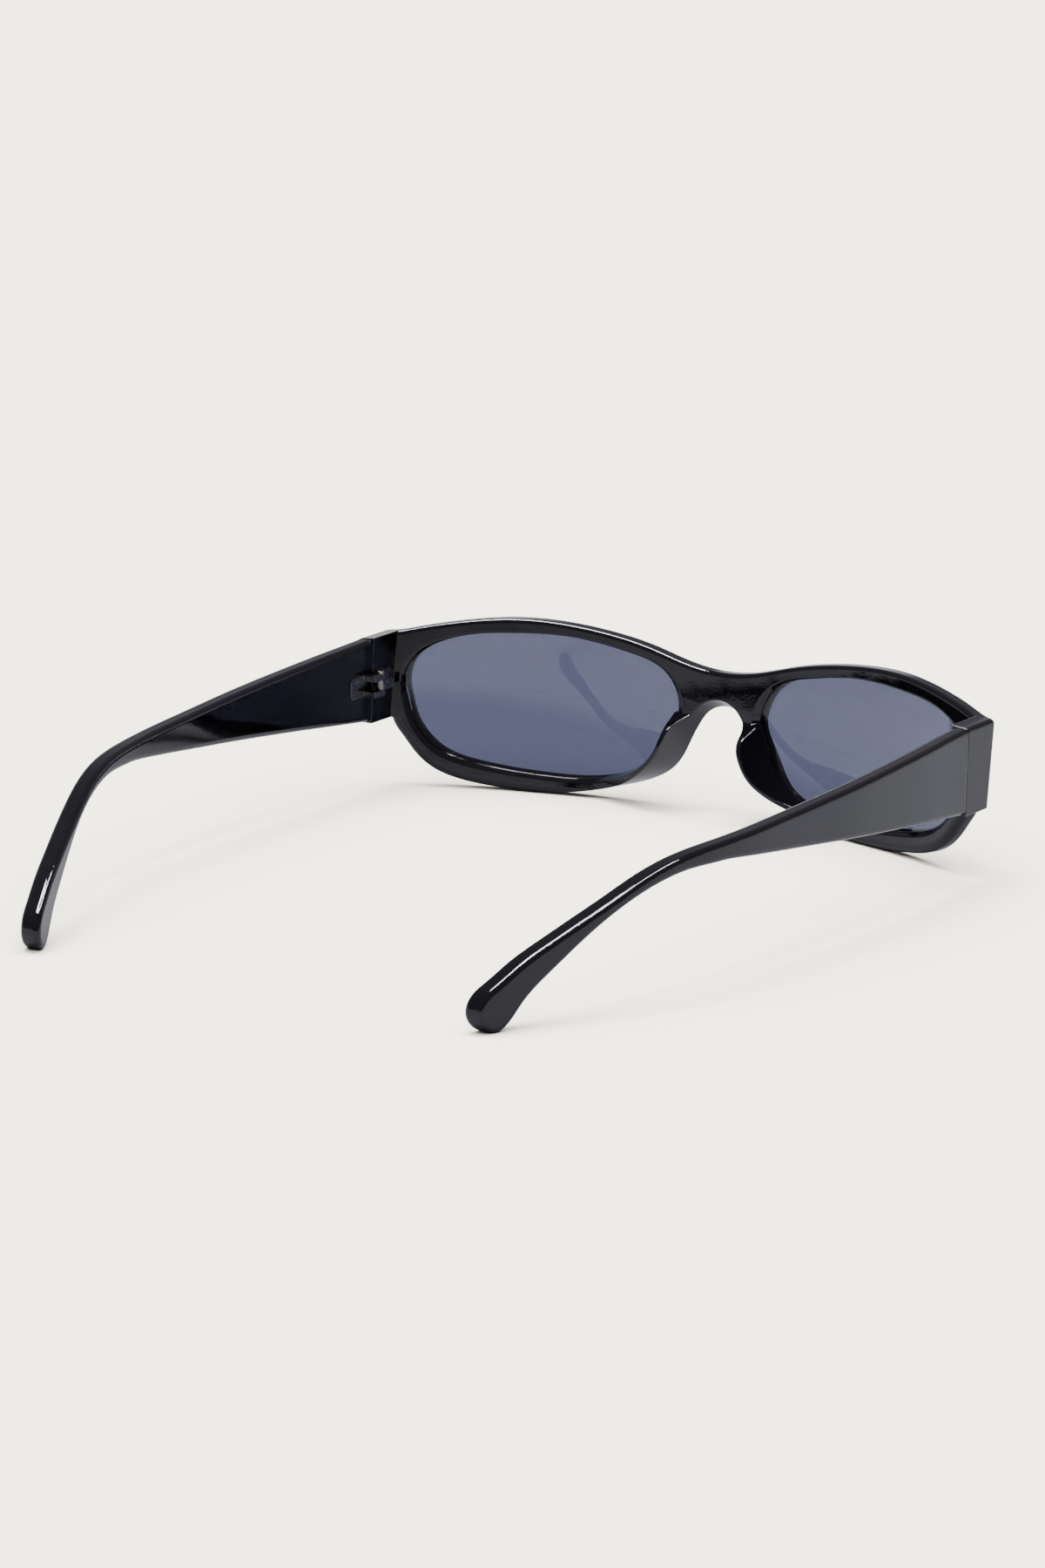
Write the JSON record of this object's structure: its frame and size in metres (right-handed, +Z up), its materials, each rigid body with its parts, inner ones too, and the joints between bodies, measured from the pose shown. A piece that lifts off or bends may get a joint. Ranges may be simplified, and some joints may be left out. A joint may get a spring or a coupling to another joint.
{
  "type": "narrow rectangle sunglasses",
  "caption": "Full-rim sunglasses with a narrow rectangular wrapped front, tinted lenses, wide flat temples and hinges that fold.",
  "frame": {"origin": "under the middle of the open glasses, on the surface they stand on", "axes": "+X to the wearer's right, +Y forward, +Z up"},
  "size_m": [0.1418, 0.1646, 0.0344],
  "materials": {
    "frame_plastic": "glossy black moulded plastic, polished",
    "temple_plastic": "semi-gloss black moulded plastic",
    "lens_tint": "clear plastic with a grey tint, polished on both sides",
    "hinge_metal": "dark plated metal, satin",
    "screw_metal": "bright metal, satin"
  },
  "bodies": {
    "front": {"front_frame": "frame_plastic", "left_lens": "lens_tint", "right_lens": "lens_tint", "left_front_hinge_leaf": "hinge_metal", "right_front_hinge_leaf": "hinge_metal"},
    "left_arm": {"left_temple": "temple_plastic", "left_temple_hinge_leaf": "hinge_metal", "left_hinge_screw": "screw_metal"},
    "right_arm": {"right_temple": "temple_plastic", "right_temple_hinge_leaf": "hinge_metal", "right_hinge_screw": "screw_metal"}
  },
  "joints": [
    {"name": "left_temple_hinge", "type": "hinge", "parent": "front", "child": "left_arm", "pos_m": [-0.0646, 0.05467, 0.0219], "axis": [0, 0, 1], "range_deg": [0, 86]},
    {"name": "right_temple_hinge", "type": "hinge", "parent": "front", "child": "right_arm", "pos_m": [0.0646, 0.05467, 0.0219], "axis": [0, 0, -1], "range_deg": [0, 80]}
  ]
}
